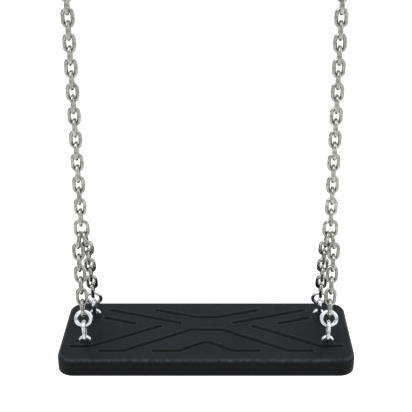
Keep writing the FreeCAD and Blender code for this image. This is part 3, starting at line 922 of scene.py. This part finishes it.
@dataclass
class Seat:
    """Moulded rubber seat with a grip pattern on its top and mould marks below."""

    finishes: Finishes
    corner: float = 25 * MM
    top_edge: float = 6 * MM
    bottom_edge: float = 4 * MM
    grid_inset: float = 16 * MM
    grid_step: float = 1.1 * MM
    groove_half: float = 4.0 * MM
    groove_depth: float = 2.0 * MM
    lip_rise: float = 0.12 * MM
    boss_rise: float = 0.9 * MM
    boss_reach: float = 5.6 * MM
    boss_slope: float = 2.2 * MM
    boss_rim: float = 4.6 * MM
    boss_rim_half: float = 0.8 * MM
    parting: float = 0.3 * MM
    parting_share: float = 0.42
    # Painted shade down the sides, keeping them darker than the lit top.
    side_dark: float = 0.8
    grip_margin: float = 28 * MM
    plug_radius: float = 7 * MM
    plug_sink: float = 0.4 * MM

    def __post_init__(self) -> None:
        """Reads the seat's place and its staple legs."""
        self.low, self.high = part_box("seat_rubber")
        self.half = np.array([self.high.x - self.low.x, self.high.y - self.low.y]) / 2
        self.staples = [
            Staple(side, leg, self.finishes.by_slot["fitting_steel"]) for side in Side for leg in Leg
        ]
        self.feet = [foot for staple in self.staples for foot in staple.feet()]

    def grip_lines(self) -> list[np.ndarray]:
        """Centre lines of the grooves, in metres from the middle of the seat."""
        edge = (self.half[1] - self.grip_margin) / MM
        half = self.half[0] / MM
        whole = [
            [(-83, edge), (-18, 40), (18, 40), (83, edge)],
            [(-164, -edge), (-128, -edge), (-25, 0), (25, 0), (128, -edge), (164, -edge)],
            [(-81, -edge), (-42, -edge), (-5, -38), (5, -38), (42, -edge), (81, -edge)],
        ]
        one_side = [
            [(160, edge), (45, 22)],
            [(165, 37), (119, 20)],
            [(half - 20, -49), (half - 50, -49), (76, 11)],
        ]
        other = [[(-x, y) for x, y in line] for line in one_side]
        return [np.array(line) * MM for line in whole + one_side + other]

    def groove_distance(self, x: np.ndarray, y: np.ndarray) -> np.ndarray:
        """Distance of each point to the nearest groove's centre line.

        Args:
            x: positions across the seat.
            y: positions front to back.

        Returns:
            The distances.
        """
        nearest = np.full(x.shape, 1.0)
        for line in self.grip_lines():
            for start, end in zip(line, line[1:]):
                run = end - start
                share = ((x - start[0]) * run[0] + (y - start[1]) * run[1]) / (run @ run)
                share = np.clip(share, 0, 1)
                gap = np.hypot(x - start[0] - share * run[0], y - start[1] - share * run[1])
                nearest = np.minimum(nearest, gap)
        return nearest

    def relief(self, x: np.ndarray, y: np.ndarray) -> tuple[np.ndarray, np.ndarray, np.ndarray]:
        """Height of the top surface, where it is lighter and where shade is painted into its grooves.

        Args:
            x: positions across the seat.
            y: positions front to back.

        Returns:
            Height above the flat top, the lighter value on the groove lips and round the bosses, and the painted
            shade in the grooves.
        """
        gap = self.groove_distance(x, y)
        wall = np.clip((gap - 0.7 * self.groove_half) / (0.45 * self.groove_half), 0, 1)
        height = -self.groove_depth * (1 - smoothstep(wall))
        lip = np.exp(-(((gap - 1.35 * self.groove_half) / (0.25 * self.groove_half)) ** 2))
        height += self.lip_rise * lip
        rub = 0.5 * lip
        for foot in self.feet:
            away = np.hypot(x - foot.x, y - foot.y)
            rise = np.clip((self.boss_reach - away) / self.boss_slope, 0, 1)
            height += self.boss_rise * smoothstep(rise)
            rub += 0.5 * np.exp(-(((away - self.boss_rim) / self.boss_rim_half) ** 2))
        # The last value paints shade into the grooves.
        return height, rub, np.clip((1.1 * self.groove_half - gap) / (0.3 * self.groove_half), 0, 1)

    def outline(self, rim: np.ndarray, inset: float) -> np.ndarray:
        """Moves each point of the grid's rim out to the rounded outline.

        Args:
            rim: x and y of the grid's rim, from the seat's middle.
            inset: distance inside the seat's side faces.

        Returns:
            X and y on the outline.
        """
        core = self.half - self.corner
        edge = self.half - self.grid_inset
        past = np.clip((np.abs(rim) - core) / (edge - core), 0, 1)
        on_end = np.isclose(np.abs(rim[:, 0]), edge[0])
        turn = np.where(on_end, past[:, 1], 2 - past[:, 0]) * math.pi / 4
        radius = self.corner - inset
        base = np.minimum(np.abs(rim), core)
        out = base + radius * np.column_stack([np.cos(turn), np.sin(turn)])
        return out * np.where(rim >= 0, 1, -1)

    def shell(self) -> Skin:
        """Meshes the seat from its gridded top down to its underside."""
        made = Skin()
        edge = self.half - self.grid_inset
        nx, ny = (int(2 * e / self.grid_step) for e in edge)
        x, y = np.meshgrid(np.linspace(-edge[0], edge[0], nx + 1), np.linspace(-edge[1], edge[1], ny + 1))
        middle = np.array([(self.low.x + self.high.x) / 2, (self.low.y + self.high.y) / 2])
        height, rub, dark = self.relief(x + middle[0], y + middle[1])
        top = np.column_stack([x.ravel(), y.ravel(), self.high.z + height.ravel()])
        top[:, :2] += middle
        made.add_points(top, rub.ravel(), dark.ravel())
        number = np.arange((nx + 1) * (ny + 1)).reshape(ny + 1, nx + 1)
        quads = np.stack([number[:-1, :-1], number[:-1, 1:], number[1:, 1:], number[1:, :-1]], axis=2)
        made.faces += [tuple(quad) for quad in quads.reshape(-1, 4).tolist()]
        loop = np.concatenate([number[0, :-1], number[:-1, -1], number[-1, :0:-1], number[:0:-1, 0]])
        rim = top[loop, :2] - middle
        levels = self.levels()
        rows = []
        for share, inset, z, _, _ in levels:
            flat = rim + (self.outline(rim, inset) - rim) * share
            rows.append(np.column_stack([flat + middle, np.full(len(rim), z)]))
        # Dusting and painted highlight value, and painted side shade, of each ring.
        dust_and_highlight_levels, side_shade_levels = (np.array([np.full(len(rim), level[i]) for level in levels]) for i in (3, 4))
        start = made.count
        made.add_rings(np.array(rows)[:, ::-1], rub=dust_and_highlight_levels, dark=side_shade_levels)
        first = start + np.arange(len(loop))
        inner = loop[::-1]
        made.faces += [
            (int(inner[i]), int(inner[(i + 1) % len(loop)]), int(first[(i + 1) % len(loop)]), int(first[i]))
            for i in range(len(loop))
        ]
        made.faces.append(tuple(range(made.count - len(loop), made.count)))
        return made

    def levels(self) -> list[tuple[float, float, float, float, float]]:
        """Rings from the grid's rim outwards, down the side and in again below.

        Returns:
            Share of the way to the outline, inset, height, dusting value, which along the rounded top edge is a
            painted highlight, and darkened value, which is painted shade down the sides and round the bottom edge
            and a darker recess underneath, of each.
        """
        rows = [(i / 8, self.top_edge, self.high.z, 0.0, 0.0) for i in range(1, 8)]
        # Rounded top edge: dusting that also paints a highlight along it, and painted shade that begins as it
        # turns down the side.
        for i in range(11):
            turn = math.pi / 2 * i / 10
            inset = self.top_edge * (1 - math.sin(turn))
            z = self.high.z - self.top_edge * (1 - math.cos(turn))
            rows.append((1.0, inset, z, 0.9 * math.sin(2 * turn), self.side_dark * math.sin(turn) ** 4))
        seam = self.low.z + self.parting_share * (self.high.z - self.low.z)
        ridge = [(1.1, 0.0), (0.45, 0.0), (0.2, 0.8), (0.0, 1.0), (-0.2, 0.8), (-0.45, 0.0), (-1.1, 0.0)]
        # Parting ridge, a little lighter on its crest, inside the painted side shade.
        rows += [
            (1.0, -self.parting * rise, seam + away * MM, 0.4 * rise, self.side_dark) for away, rise in ridge
        ]
        # Rounded bottom edge, inside the painted side shade.
        for i in range(8):
            turn = math.pi / 2 * i / 7
            inset = self.bottom_edge * (1 - math.cos(turn))
            z = self.low.z + self.bottom_edge * (1 - math.sin(turn))
            rows.append((1.0, inset, z, 0.1, self.side_dark))
        recess = ((9.0, 0.0), (9.6, 0.15), (10.2, 0.65), (11.0, 0.8), (14.0, 0.8))
        for inset, sink in recess:
            rows.append((1.0, inset * MM, self.low.z + sink * MM, 0.0, 0.4))
        return rows

    def plugs(self) -> Skin:
        """Rubber plugs that close the nut pockets on the underside."""
        made = Skin()
        r = self.plug_radius
        profile = [
            (0.02 * MM, 0.5), (r * 0.25, 0.5), (r * 0.35, 0.1), (r * 0.45, 0.5), (r * 0.9, 0.5),
            (r * 0.98, 0.3), (r, 0.0), (r, -1.0),
        ]
        rings = lathe_rings([(radius, -z * MM) for radius, z in profile], 40)
        for foot in self.feet:
            one = Skin()
            one.add_rings(rings, caps=True)
            made.place(Matrix.Translation((foot.x, foot.y, self.low.z + self.plug_sink)), one)
        return made

    def build(self) -> None:
        """Builds the rubber body, its plugs and the staples."""
        rubber = self.shell().piece("moulded_seat", self.finishes.by_slot["seat_rubber"], smooth=60)
        settle(rubber, "seat", "seat_rubber", "seat_rubber")
        plugs = self.plugs().piece("nut_pocket_plugs", self.finishes.mould_cap, smooth=50)
        settle(plugs, "seat", "seat_rubber")
        for staple in self.staples:
            staple.build()


# --- hangers ----------------------------------------------------------------------


def ring_profile(inner: float, outer: float, length: float, ease: float) -> list[tuple[float, float]]:
    """Closed outline of a flat ring with eased edges, as radius and height pairs."""
    soft = ease * 0.3
    return [
        (inner, length - ease), (inner, ease), (inner + soft, soft), (inner + ease, 0), (outer - ease, 0),
        (outer - soft, soft), (outer, ease), (outer, length - ease), (outer - soft, length - soft),
        (outer - ease, length), (inner + ease, length), (inner + soft, length - soft),
    ]


def ring_skin(inner: float, outer: float, length: float, ease: float, count: int = 56) -> Skin:
    """Skin of a flat ring round Z, standing on its origin."""
    made = Skin()
    made.add_rings(lathe_rings(ring_profile(inner, outer, length, ease), count), loop=True)
    return made


def pivot_of(side: Side) -> Vector:
    """Centre of a side's pivot bolt, where its swing joint is."""
    joint = next(j for j in frame["joints"] if j["name"] == f"{side.word}_swing")
    return Vector(joint["pos_m"])


@dataclass(frozen=True)
class WeldBead:
    """A run of fillet weld with the ripples of its passes."""

    radius: float = 2.3 * MM
    ripple: float = 0.22 * MM
    pitch: float = 1.7 * MM
    step: float = 0.34 * MM
    around: int = 14
    rounding: int = 6
    scorch: float = 0.35

    def skin(self, corners: list[Vector], normal: Vector) -> Skin:
        """Meshes a closed bead.

        Args:
            corners: corners of the path, which lies in one plane.
            normal: unit normal of that plane.

        Returns:
            The bead's skin.
        """
        points = []
        for start, end in zip(corners, corners[1:] + corners[:1]):
            run = end - start
            count = max(2, int(run.length / self.step))
            points += [tuple(start + run * (i / count)) for i in range(count)]
        line = np.array(points)
        for _ in range(self.rounding):
            line = (np.roll(line, 1, axis=0) + 2 * line + np.roll(line, -1, axis=0)) / 4
        length = np.cumsum(np.linalg.norm(np.diff(line, axis=0, append=line[:1]), axis=1))
        saw = (length / self.pitch) % 1.0
        radius = self.radius + self.ripple * (np.sqrt(saw) - 0.6)
        run = np.roll(line, -1, axis=0) - np.roll(line, 1, axis=0)
        rings = sweep(line, run, np.array(normal), radius, self.around)
        made = Skin()
        made.add_rings(rings, loop=True, dark=np.full(rings.shape[:2], self.scorch))
        return made


@dataclass
class Hanger:
    """Bracket with its ear welds, and the swing eye, at the top of one chain."""

    side: Side
    finishes: Finishes
    plate_thickness: float = 6 * MM
    ear_thickness: float = 6 * MM
    ear_foot: float = 46 * MM
    eye_length: float = 24 * MM
    eye_play: float = 0.5 * MM
    lug_half: float = 8 * MM
    pin_hole: float = 3.08 * MM
    lug_overlap: float = 2 * MM
    lug_points: int = 96
    hole_ease: float = 0.4 * MM
    shackle_reach: float = 6.3 * MM
    eye_weld: float = 1.5 * MM
    edge: float = 0.7 * MM

    def __post_init__(self) -> None:
        """Reads where the pivot is."""
        low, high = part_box(f"{self.side.word}_hanger_bracket")
        self.x = (low.x + high.x) / 2
        self.top = high.z
        self.pivot = pivot_of(self.side)

    def soften(self) -> None:
        """Eases the edges of the designed bracket."""
        node = f"{self.side.word}_hanger_bracket"
        piece = frame["nodes"][node]
        weld = piece.modifiers.new("joined", "WELD")
        weld.merge_threshold = 0.001 * MM
        bevel = piece.modifiers.new("eased", "BEVEL")
        bevel.width = self.edge
        bevel.segments = 3
        bevel.limit_method = "ANGLE"
        bevel.angle_limit = math.radians(40)
        bevel.harden_normals = True
        LOG.info("%s keeps its designed shape, edges eased by %.1f mm", node, self.edge / MM)

    def ear_welds(self) -> None:
        """Builds the bead round the foot of each ear."""
        made = Skin()
        inner = self.eye_length / 2 + self.eye_play
        z = self.top - self.plate_thickness
        foot = self.ear_foot / 2
        for side in (-1, 1):
            near, far = (self.x + side * inner, self.x + side * (inner + self.ear_thickness))
            corners = [
                Vector((x, y, z)) for x, y in ((near, -foot), (far, -foot), (far, foot), (near, foot))
            ]
            made.place(Matrix.Identity(4), WeldBead().skin(corners, Vector((0, 0, 1))))
        piece = made.piece(f"{self.side.word}_ear_welds", self.finishes.by_slot["hanger_steel"], smooth=50)
        settle(piece, "hangers", "hanger_steel")

    def lug(self, half_width: float, half_depth: float, rise: float) -> Skin:
        """Meshes the eye's lug about the pin, drilled through, with X across the chain.

        Args:
            half_width: half its size along X.
            half_depth: half its size along Y, also the radius of its foot.
            rise: height of its top over the pin.

        Returns:
            The lug's skin.
        """
        turn = angles(self.lug_points)
        flat = half_depth / np.maximum(np.abs(np.cos(turn)), TINY)
        top = rise / np.maximum(np.sin(turn), TINY)
        outer = np.where(np.sin(turn) > 0, np.minimum(flat, top), half_depth)
        hole = np.full(self.lug_points, self.pin_hole)
        ease, soft, bevel = self.edge, 0.3 * self.edge, self.hole_ease
        rows = [
            (-half_width, outer - ease), (-half_width + soft, outer - soft), (-half_width + ease, outer),
            (half_width - ease, outer), (half_width - soft, outer - soft), (half_width, outer - ease),
            (half_width, hole + bevel), (half_width - bevel, hole), (-half_width + bevel, hole),
            (-half_width, hole + bevel),
        ]
        rings = [np.roll(flat_ring(r, turn, x), 1, axis=1) for x, r in rows]
        made = Skin()
        made.add_rings(np.array(rings), loop=True)
        return made

    def swing_eye(self) -> None:
        """Builds the tube and lug that swing on the bush, with their weld."""
        word = self.side.word
        low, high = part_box(f"{word}_swing_eye")
        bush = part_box(f"{word}_bearing_bush")
        tube = high.z - self.pivot.z
        bore = (bush[1].z - bush[0].z) / 2
        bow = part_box(f"{word}_shackle_bow")
        half_width = (bow[1].x - bow[0].x) / 2 - self.shackle_reach
        pin_z = low.z + self.lug_half
        made = Skin()
        made.place(along_x(low.x, 0, self.pivot.z), ring_skin(bore, tube, high.x - low.x, self.edge))
        lug = self.lug(half_width, self.lug_half, self.pivot.z - tube + self.lug_overlap - pin_z)
        made.place(Matrix.Translation((self.x, 0, pin_z)), lug)
        z = self.pivot.z - math.sqrt(tube**2 - self.lug_half**2)
        corners = [
            Vector((self.x + sx * half_width, sy * self.lug_half, z))
            for sx, sy in ((-1, -1), (1, -1), (1, 1), (-1, 1))
        ]
        made.place(Matrix.Identity(4), WeldBead(radius=self.eye_weld).skin(corners, Vector((0, 0, 1))))
        piece = made.piece(f"{word}_welded_eye", self.finishes.by_slot["hanger_steel"], smooth=40)
        settle(piece, f"{word}_eye", "hanger_steel", f"{word}_swing_eye")

    def build(self) -> None:
        """Builds the hanger."""
        self.soften()
        self.ear_welds()
        self.swing_eye()


@dataclass
class PivotSet:
    """The two pivot bolts with their washers and lock nuts."""

    finishes: Finishes
    flats: float = 19 * MM
    head: float = 7.5 * MM
    nut: float = 10.8 * MM
    washer: float = 2.5 * MM
    washer_radius: float = 12 * MM
    washer_ease: float = 0.35 * MM
    head_chamfer: float = 1.5 * MM
    thread_end: float = 3 * MM
    thread_past_nut: float = 8 * MM
    sunk_in_head: float = 0.2 * MM
    collar_height: float = 3.0 * MM
    insert_sink: float = 1.6 * MM
    radius: float = 6 * MM
    bore: float = 6.25 * MM
    thread_pitch: float = 1.75 * MM
    thread_depth: float = 0.9 * MM

    def bolt(self, length: float) -> Skin:
        """Bolt along Z: shank from the origin down to -length, head above it."""
        made = Skin()
        made.add_rings(hex_rings(self.flats, self.head, self.head_chamfer), caps=True)
        thread = self.nut + self.washer + self.thread_end + self.thread_past_nut
        shank = [(self.radius, -(length - thread)), (self.radius, self.sunk_in_head)]
        made.add_rings(lathe_rings(shank), caps=True)
        screw = Skin()
        screw.add_rings(thread_rings(self.radius, thread, self.thread_pitch, self.thread_depth), caps=True)
        flip = Matrix.Translation((0, 0, -(length - thread))) @ Matrix.Rotation(math.pi, 4, "X")
        made.place(flip, screw)
        return made

    def lock_nut(self) -> Skin:
        """Hexagon nut along Z with a rolled collar at its far end."""
        made = Skin()
        corner = self.flats / math.sqrt(3)
        turn = angles(72)
        sides = hexagon(self.flats, turn)
        wall = self.nut - self.collar_height
        rows = [
            (0.0, 0.92), (0.7 * MM, 0.985), (1.4 * MM, 1.0), (wall - 1.6 * MM, 1.0),
            (wall - 0.8 * MM, 0.975), (wall, 0.90),
        ]
        rings = [flat_ring(np.minimum(sides, corner * cap), turn, z) for z, cap in rows]
        end = self.nut
        collar = [
            (8.6 * MM, wall + 0.1 * MM), (8.5 * MM, end - 0.9 * MM), (8.1 * MM, end - 0.2 * MM),
            (7.4 * MM, end), (6.9 * MM, end - 0.3 * MM), (6.8 * MM, end - 1.2 * MM),
            (6.05 * MM, end - 1.6 * MM), (6.05 * MM, 0.5 * MM), (6.6 * MM, 0.0),
        ]
        rings += [flat_ring(r, turn, z) for r, z in collar]
        made.add_rings(np.array(rings), loop=True)
        return made

    def build(self) -> None:
        """Builds both sets."""
        steel = self.finishes.bolt_steel
        bolts, washers, nuts, rings = Skin(), Skin(), Skin(), Skin()
        for side in Side:
            pivot = pivot_of(side)
            sign = float(side.value)
            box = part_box("pivot_bolts")
            far = (box[1].x if sign > 0 else -box[0].x) - self.head
            grip = 2 * (far - abs(pivot.x))
            length = grip + self.washer + self.nut + self.thread_end
            outer = along_x(sign * far, pivot.y, pivot.z, sign)
            bolts.place(outer, self.bolt(length))
            inner_x = sign * (far - grip)
            washers.place(
                along_x(inner_x, pivot.y, pivot.z, -sign),
                ring_skin(self.bore, self.washer_radius, self.washer, self.washer_ease),
            )
            seat_x = inner_x - sign * self.washer
            nuts.place(along_x(seat_x, pivot.y, pivot.z, -sign), self.lock_nut())
            rings.place(
                along_x(seat_x - sign * (self.nut - self.insert_sink), pivot.y, pivot.z, -sign),
                ring_skin(6.02 * MM, 6.95 * MM, 1.1 * MM, 0.2 * MM),
            )
        for skin, name, node in (
            (bolts, "pivot_bolt_pair", "pivot_bolts"), (washers, "pivot_washer_pair", "pivot_washers"),
            (nuts, "pivot_lock_nuts", "pivot_nuts"),
        ):
            settle(skin.piece(name, steel, smooth=30), "hangers", "fitting_steel", node)
        settle(rings.piece("lock_nut_inserts", self.finishes.lock_ring, smooth=40), "hangers", "bush_nylon")


@dataclass
class Shackle:
    """Forged D-shackle with its screw pin."""

    side: Side
    finishes: Finishes
    wire: float = 3 * MM
    inner_half: float = 6 * MM
    ear_radius: float = 6.5 * MM
    ear_thickness: float = 6 * MM
    pin_radius: float = 3 * MM
    collar_radius: float = 5.5 * MM
    head_height: float = 4 * MM
    tab_hole: float = 1.5 * MM
    tab_points: int = 48
    edge: float = 0.4 * MM
    ear_ease: float = 1.1 * MM
    pin_play: float = 0.02 * MM
    side_steps: int = 14
    bend_steps: int = 36
    around: int = 24

    def __post_init__(self) -> None:
        """Reads the shackle's place."""
        self.low, self.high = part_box(f"{self.side.word}_shackle_bow")
        self.x = (self.low.x + self.high.x) / 2
        self.pin_z = self.high.z - self.ear_radius
        self.out = float(self.side.value)

    def bow(self) -> Skin:
        """Bow of round bar that flares into two eased ears."""
        made = Skin()
        radius = self.inner_half + self.wire
        bend_z = self.low.z + self.wire + radius
        steps = self.side_steps
        drop = np.linspace(self.pin_z - 2 * MM, bend_z, steps, endpoint=False)
        turn = np.linspace(0, math.pi, self.bend_steps)
        x = np.concatenate([np.full(steps, -radius), -radius * np.cos(turn), np.full(steps, radius)])
        z = np.concatenate([drop, bend_z - radius * np.sin(turn), drop[::-1]])
        line = np.column_stack([x + self.x, 0 * x, z])
        flare = np.clip(1 - (self.pin_z - z) / (9 * MM), 0, 1)
        thick = self.wire * (1 + 0.18 * flare**2)
        rings = bent_rod(line, np.array([0.0, 1.0, 0.0]), thick, self.around)
        low = np.clip((bend_z - line[:, 2]) / radius * 1.5 - 0.5, 0, 1)[:, None]
        inner = np.clip((rings[:, :, 2] - line[:, None, 2]) / self.wire, 0, 1)
        made.add_rings(rings, caps=True, rub=low * inner)
        for side in (-1, 1):
            start = along_x(self.x + side * self.inner_half, 0, self.pin_z, side)
            bore = self.pin_radius + self.pin_play
            made.place(start, ring_skin(bore, self.ear_radius, self.ear_thickness, self.ear_ease))
        return made

    def pin(self) -> Skin:
        """Screw pin along Z from the far ear, with a collar and a drilled flat tab."""
        made = Skin()
        reach = self.inner_half + self.ear_thickness
        r = self.pin_radius
        shank = [(r * 0.8, -reach), (r, -reach + 0.6 * MM), (r, reach)]
        c = self.collar_radius
        edge = self.edge
        half_head = self.head_height / 2
        collar = [
            (c - edge, reach), (c, reach + edge), (c, reach + half_head - edge),
            (c - edge, reach + half_head), (0.5 * MM, reach + half_head),
        ]
        made.add_rings(lathe_rings(shank + collar, 40), caps=True)
        size = 2 * c - half_head
        centre_z = reach + half_head + size / 2
        turn = angles(self.tab_points)
        square = (np.abs(np.cos(turn)) ** 5 + np.abs(np.sin(turn)) ** 5) ** (-1 / 5)
        ease = 0.5 * MM
        outer = ((-half_head, -ease), (-half_head + ease, 0), (half_head - ease, 0), (half_head, -ease))
        rows = [(y, (size / 2 + grow) * square) for y, grow in outer]
        rows += [
            (half_head, self.tab_hole + edge), (half_head - edge, self.tab_hole),
            (-half_head + edge, self.tab_hole), (-half_head, self.tab_hole + edge),
        ]
        tab = np.array([flat_ring(radius, turn, y)[:, [0, 2, 1]] for y, radius in rows])[:, ::-1]
        tab[:, :, 2] += centre_z
        made.add_rings(tab, loop=True)
        return made

    def build(self) -> None:
        """Builds the bow and the pin."""
        steel = self.finishes.bolt_steel
        word = self.side.word
        bow = self.bow().piece(f"{word}_forged_bow", steel, smooth=45)
        settle(bow, f"{word}_shackle", "fitting_steel", f"{word}_shackle_bow")
        made = Skin()
        made.place(along_x(self.x, 0, self.pin_z, self.out), self.pin())
        pin = made.piece(f"{word}_screw_pin", steel, smooth=35)
        settle(pin, f"{word}_shackle", "fitting_steel", f"{word}_shackle_pin")


# --- studio ------------------------------------------------------------------------


@dataclass(frozen=True)
class SoftBox:
    """One soft area light."""

    name: str
    place: tuple[float, float, float]
    size: tuple[float, float]
    watts: float

    def build(self, aim: Vector) -> None:
        """Builds the light and points it at a place.

        Args:
            aim: what the light faces.
        """
        data = bpy.data.lights.new(self.name, "AREA")
        data.shape = "RECTANGLE"
        data.size, data.size_y = self.size
        data.energy = self.watts
        lamp = bpy.data.objects.new(self.name, data)
        lamp.location = self.place
        lamp.rotation_euler = (aim - Vector(self.place)).to_track_quat("-Z", "Y").to_euler()
        bpy.context.scene.collection.objects.link(lamp)


@dataclass
class Studio:
    """Pale floor, even sky, soft lights and the camera."""

    floor_drop: float = 0.5
    floor_radius: float = 30.0
    floor_flat: float = 0.6
    rim_rise: float = 8.0
    rim_steps: int = 12
    horizon: float = 0.32
    zenith: float = 1.45
    lens: float = 81.4
    sensor: float = 36.0
    camera_place: tuple[float, float, float] = (0.0225, -1.2961, 0.1309)
    camera_pitch: float = 0.413
    shift: float = -0.0355
    boxes: tuple[SoftBox, ...] = (
        SoftBox("key_light", (-1.6, -1.4, 2.2), (2.0, 2.0), 60.0),
        SoftBox("top_light", (0.4, 0.6, 2.9), (4.0, 3.0), 50.0),
        SoftBox("side_light", (2.4, -0.6, 0.4), (0.8, 1.8), 18.0),
    )

    def build(self) -> None:
        """Builds the studio."""
        low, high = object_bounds()
        self.floor(low.z - self.floor_drop)
        self.sky()
        aim = Vector((0, 0, (low.z + high.z) / 2))
        for box in self.boxes:
            box.build(aim)
        self.camera()
        bpy.context.scene.view_settings.view_transform = "Standard"

    def sky(self) -> None:
        """Builds a white sky that is brightest overhead."""
        world = bpy.data.worlds.new("soft_sky")
        world.use_nodes = True
        tree = world.node_tree
        place = tree.nodes.new("ShaderNodeTexCoord")
        split = tree.nodes.new("ShaderNodeSeparateXYZ")
        spread = tree.nodes.new("ShaderNodeMapRange")
        spread.interpolation_type = "SMOOTHSTEP"
        spread.inputs["From Max"].default_value = 0.8
        spread.inputs["To Min"].default_value = self.horizon
        spread.inputs["To Max"].default_value = self.zenith
        tree.links.new(place.outputs["Generated"], split.inputs["Vector"])
        tree.links.new(split.outputs["Z"], spread.inputs["Value"])
        tree.links.new(spread.outputs["Result"], tree.nodes["Background"].inputs["Strength"])
        tree.nodes["Background"].inputs["Color"].default_value = (1.0, 1.0, 1.0, 1.0)
        bpy.context.scene.world = world

    def floor(self, z: float) -> None:
        """Builds the floor, a round one that curves up at its rim.

        Args:
            z: its height.
        """
        flat = self.floor_radius * self.floor_flat
        rows = [(0.001, 0.0), (flat, 0.0)]
        for i in range(1, self.rim_steps + 1):
            share = i / self.rim_steps
            rows.append((flat + (self.floor_radius - flat) * share, self.rim_rise * share**2))
        made = Skin()
        made.add_rings(lathe_rings([(radius, z + rise) for radius, rise in rows], 72)[:, ::-1])
        finish = NodeSheet("pale_paint")
        speck = finish.noise(3.0, 3.0)
        tone = finish.mix(speck, (0.93, 0.93, 0.93), (0.95, 0.95, 0.95))
        finish.join(tone, finish.shader.inputs["Base Color"])
        finish.shader.inputs["Roughness"].default_value = 0.9
        made.piece("pale_floor", finish.material)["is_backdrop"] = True

    def camera(self) -> None:
        """Builds the camera."""
        data = bpy.data.cameras.new("camera")
        data.lens = self.lens
        data.sensor_width = self.sensor
        data.shift_x = self.shift
        data.clip_end = 200.0
        made = bpy.data.objects.new("camera", data)
        made.location = self.camera_place
        made.rotation_euler = (math.pi / 2 - self.camera_pitch, 0, 0)
        bpy.context.scene.collection.objects.link(made)
        bpy.context.scene.camera = made


def main() -> None:
    """Builds every piece in order."""
    logging.basicConfig(level=logging.INFO, format="%(message)s")
    finishes = Finishes()
    finishes.dress_frame(frame["nodes"], frame["record"])
    for side in Side:
        Hanger(side, finishes).build()
        Shackle(side, finishes).build()
    PivotSet(finishes).build()
    for side in Side:
        ChainRun(side, finishes).build()
    Seat(finishes).build()
    Studio().build()


if __name__ == "__main__":
    main()
